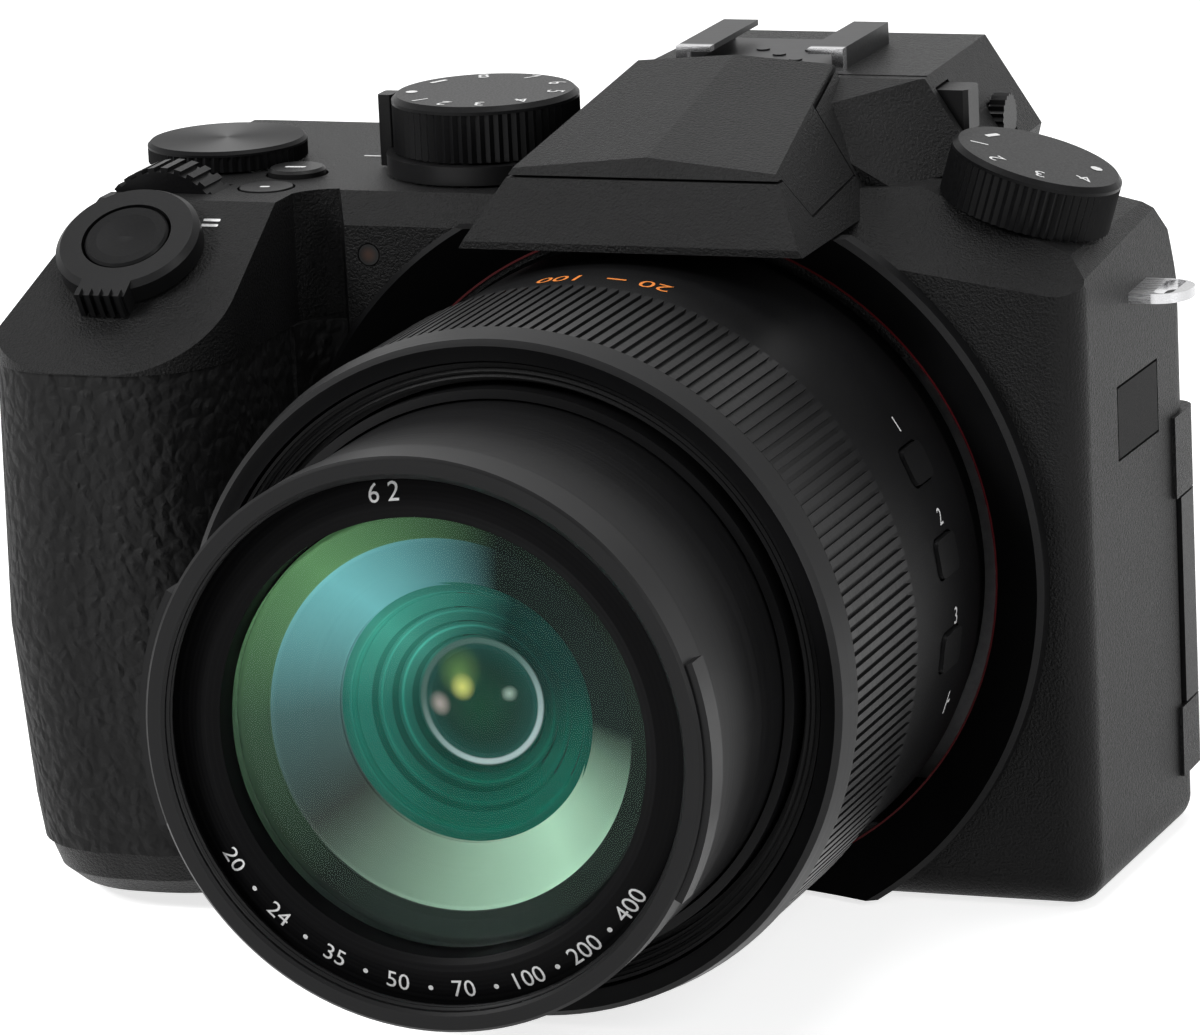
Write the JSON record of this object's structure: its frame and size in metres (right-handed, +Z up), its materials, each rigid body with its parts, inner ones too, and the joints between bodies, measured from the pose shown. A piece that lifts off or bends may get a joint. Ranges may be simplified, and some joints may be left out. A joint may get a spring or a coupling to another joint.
{
  "type": "bridge camera",
  "caption": "Large-sensor style camera with a fixed power zoom lens, moulded grip, pop-up flash, control dials and a swing-out monitor.",
  "frame": {"origin": "mouth of the tripod socket, in the plane of the base", "axes": "-Y is the direction the lens looks in, +X runs from the grip to the connector side, +Z is up"},
  "size_m": [0.1428, 0.1445, 0.0987],
  "materials": {
    "body_plastic": "fine grained black",
    "control_plastic": "satin black",
    "record_plastic": "satin black with a red dot",
    "dial_metal": "knurled black",
    "barrel_metal": "satin black anodised",
    "grip_rubber": "leather grained",
    "accent": "red",
    "bright_metal": "brushed",
    "frame_metal": "as cast",
    "board": "circuit board",
    "sensor": "sensor",
    "cell": "battery case",
    "lens_glass": "coated",
    "screen_glass": "glossy",
    "flash_glass": "prismatic",
    "lamp_glass": "clear orange"
  },
  "bodies": {
    "camera": {"front_casing": "body_plastic", "top_cover": "body_plastic", "rear_casing": "body_plastic", "bottom_cover": "body_plastic", "grip_rubber": "grip_rubber", "thumb_rest": "grip_rubber", "inner_chassis": "frame_metal", "main_board": "board", "image_sensor": "sensor", "rear_lens_group": "lens_glass", "battery": "cell", "tripod_bush": "bright_metal", "case_screws": "bright_metal", "hot_shoe": "bright_metal", "eyecup": "grip_rubber", "eyepiece_lens": "lens_glass", "focus_assist_lamp": "lamp_glass", "lens_collar": "body_plastic", "accent_ring": "accent", "fixed_barrel": "body_plastic", "mouth_bezel": "body_plastic", "strap_lug_left": "bright_metal", "strap_lug_right": "bright_metal"},
    "control_ring": {"control_ring": "control_plastic"},
    "zoom_front": {"zoom_barrel_front": "barrel_metal", "rim_ring": "barrel_metal", "name_ring": "barrel_metal", "front_element": "lens_glass", "inner_element": "lens_glass"},
    "zoom_middle": {"zoom_barrel_middle": "barrel_metal"},
    "flash": {"flash_head": "body_plastic", "flash_window": "flash_glass"},
    "monitor": {"monitor_bracket": "body_plastic", "monitor_panel": "body_plastic", "monitor_glass": "screen_glass"},
    "zoom_lever": {"zoom_lever": "control_plastic"},
    "shutter_button": {"shutter_button": "dial_metal"},
    "front_dial": {"front_dial": "dial_metal"},
    "top_dial": {"top_dial": "dial_metal"},
    "mode_dial": {"mode_dial": "dial_metal"},
    "power_lever": {"power_lever": "control_plastic"},
    "drive_dial": {"drive_dial": "dial_metal"},
    "flash_release": {"flash_release": "control_plastic"},
    "diopter_dial": {"diopter_dial": "control_plastic"},
    "battery_door": {"battery_door": "body_plastic"},
    "battery_latch": {"battery_latch": "control_plastic"},
    "jack_cover": {"jack_cover": "body_plastic"},
    "card_door": {"card_door": "body_plastic"},
    "four_way_pad": {"four_way_pad": "control_plastic"},
    "set_button": {"set_button": "control_plastic"},
    "focus_lever": {"focus_lever": "control_plastic"},
    "focus_lock_button": {"focus_lock_button": "control_plastic"},
    "record_button": {"record_button": "record_plastic"},
    "exposure_button": {"exposure_button": "control_plastic"},
    "function_button_1": {"function_button_1": "control_plastic"},
    "function_button_2": {"function_button_2": "control_plastic"},
    "function_button_3": {"function_button_3": "control_plastic"},
    "rear_button_1": {"rear_button_1": "control_plastic"},
    "rear_button_2": {"rear_button_2": "control_plastic"},
    "rear_button_3": {"rear_button_3": "control_plastic"}
  },
  "joints": [
    {"name": "control_ring_turn", "type": "hinge", "parent": "camera", "child": "control_ring", "pos_m": [0, -0.0609, 0.0409], "axis": [0, -1, 0], "continuous": true},
    {"name": "zoom_extend", "type": "slide", "parent": "camera", "child": "zoom_front", "axis": [0, -1, 0], "range_m": [-0.0126, 0.04]},
    {"name": "zoom_middle_extend", "type": "slide", "parent": "camera", "child": "zoom_middle", "axis": [0, -1, 0], "range_m": [-0.0063, 0.02]},
    {"name": "zoom_lever_turn", "type": "hinge", "parent": "camera", "child": "zoom_lever", "pos_m": [-0.0623, -0.0323, 0.07983], "axis": [0, -0.515, 0.8572], "range_deg": [-12, 12], "stiffness_Nm_per_rad": 0.03},
    {"name": "shutter_press", "type": "slide", "parent": "camera", "child": "shutter_button", "axis": [0, 0.515, -0.8572], "range_m": [0, 0.0012], "stiffness_N_per_m": 600, "springref_m": -0.0012},
    {"name": "front_dial_turn", "type": "hinge", "parent": "camera", "child": "front_dial", "pos_m": [-0.0635, -0.017, 0.0795], "axis": [0, -1, 0], "continuous": true},
    {"name": "top_dial_turn", "type": "hinge", "parent": "camera", "child": "top_dial", "pos_m": [-0.0632, 0.0006, 0.085], "axis": [0, 0, 1], "continuous": true},
    {"name": "mode_dial_turn", "type": "hinge", "parent": "camera", "child": "mode_dial", "pos_m": [-0.028, -0.0004, 0.085], "axis": [0, 0, 1], "continuous": true},
    {"name": "power_lever_turn", "type": "hinge", "parent": "camera", "child": "power_lever", "pos_m": [-0.028, -0.0004, 0.085], "axis": [0, 0, 1], "range_deg": [0, 35]},
    {"name": "drive_dial_turn", "type": "hinge", "parent": "camera", "child": "drive_dial", "pos_m": [0.0406, -0.0006, 0.0814], "axis": [0.2924, 0, 0.9563], "range_deg": [0, 150]},
    {"name": "flash_lift", "type": "hinge", "parent": "camera", "child": "flash", "pos_m": [0.0022, 0.0064, 0.0959], "axis": [-1, 0, 0], "range_deg": [0, 48]},
    {"name": "flash_release_press", "type": "slide", "parent": "camera", "child": "flash_release", "axis": [-1, 0, 0], "range_m": [0, 0.001], "stiffness_N_per_m": 400, "springref_m": -0.001},
    {"name": "diopter_turn", "type": "hinge", "parent": "camera", "child": "diopter_dial", "pos_m": [0.03129, 0.024, 0.088], "axis": [1, 0, 0], "range_deg": [-120, 120]},
    {"name": "monitor_swing", "type": "hinge", "parent": "camera", "child": "monitor", "pos_m": [0.0512, 0.023, 0.0297], "axis": [0, 0, -1], "range_deg": [0, 180]},
    {"name": "battery_door_open", "type": "hinge", "parent": "camera", "child": "battery_door", "pos_m": [-0.062, 0.0039, 0.001], "axis": [1, 0, 0], "range_deg": [0, 85]},
    {"name": "battery_latch_slide", "type": "slide", "parent": "battery_door", "child": "battery_latch", "axis": [0, 1, 0], "range_m": [0, 0.0015]},
    {"name": "jack_cover_open", "type": "hinge", "parent": "camera", "child": "jack_cover", "pos_m": [0.05333, 0.0107, 0.0566], "axis": [0, 0, 1], "range_deg": [0, 80]},
    {"name": "card_door_open", "type": "hinge", "parent": "camera", "child": "card_door", "pos_m": [-0.07625, 0.00895, 0.032], "axis": [0, 0, -1], "range_deg": [0, 90]},
    {"name": "four_way_pad_press", "type": "slide", "parent": "camera", "child": "four_way_pad", "axis": [0, -1, 0], "range_m": [0, 0.0005], "stiffness_N_per_m": 400, "springref_m": -0.0005},
    {"name": "set_button_press", "type": "slide", "parent": "camera", "child": "set_button", "axis": [0, -1, 0], "range_m": [0, 0.0005], "stiffness_N_per_m": 400, "springref_m": -0.0005},
    {"name": "focus_lock_button_press", "type": "slide", "parent": "camera", "child": "focus_lock_button", "axis": [0, -1, 0], "range_m": [0, 0.0005], "stiffness_N_per_m": 400, "springref_m": -0.0005},
    {"name": "rear_button_1_press", "type": "slide", "parent": "camera", "child": "rear_button_1", "axis": [0, -1, 0], "range_m": [0, 0.0005], "stiffness_N_per_m": 400, "springref_m": -0.0005},
    {"name": "rear_button_2_press", "type": "slide", "parent": "camera", "child": "rear_button_2", "axis": [0, -1, 0], "range_m": [0, 0.0005], "stiffness_N_per_m": 400, "springref_m": -0.0005},
    {"name": "rear_button_3_press", "type": "slide", "parent": "camera", "child": "rear_button_3", "axis": [0, -1, 0], "range_m": [0, 0.0005], "stiffness_N_per_m": 400, "springref_m": -0.0005},
    {"name": "focus_lever_turn", "type": "hinge", "parent": "camera", "child": "focus_lever", "pos_m": [-0.049, 0.026, 0.062], "axis": [0, 1, 0], "range_deg": [0, 40]},
    {"name": "record_button_press", "type": "slide", "parent": "camera", "child": "record_button", "axis": [0, 0, -1], "range_m": [0, 0.0005], "stiffness_N_per_m": 400, "springref_m": -0.0005},
    {"name": "exposure_button_press", "type": "slide", "parent": "camera", "child": "exposure_button", "axis": [0, 0, -1], "range_m": [0, 0.0005], "stiffness_N_per_m": 400, "springref_m": -0.0005},
    {"name": "function_button_1_press", "type": "slide", "parent": "camera", "child": "function_button_1", "axis": [-0.9063, 0, -0.4226], "range_m": [0, 0.0004], "stiffness_N_per_m": 400, "springref_m": -0.0004},
    {"name": "function_button_2_press", "type": "slide", "parent": "camera", "child": "function_button_2", "axis": [-0.989, 0, -0.1478], "range_m": [0, 0.0004], "stiffness_N_per_m": 400, "springref_m": -0.0004},
    {"name": "function_button_3_press", "type": "slide", "parent": "camera", "child": "function_button_3", "axis": [-0.9903, 0, 0.1392], "range_m": [0, 0.0004], "stiffness_N_per_m": 400, "springref_m": -0.0004}
  ],
  "couplings": [
    {"joint": "zoom_middle_extend", "follows": "zoom_extend", "ratio": 0.5}
  ]
}
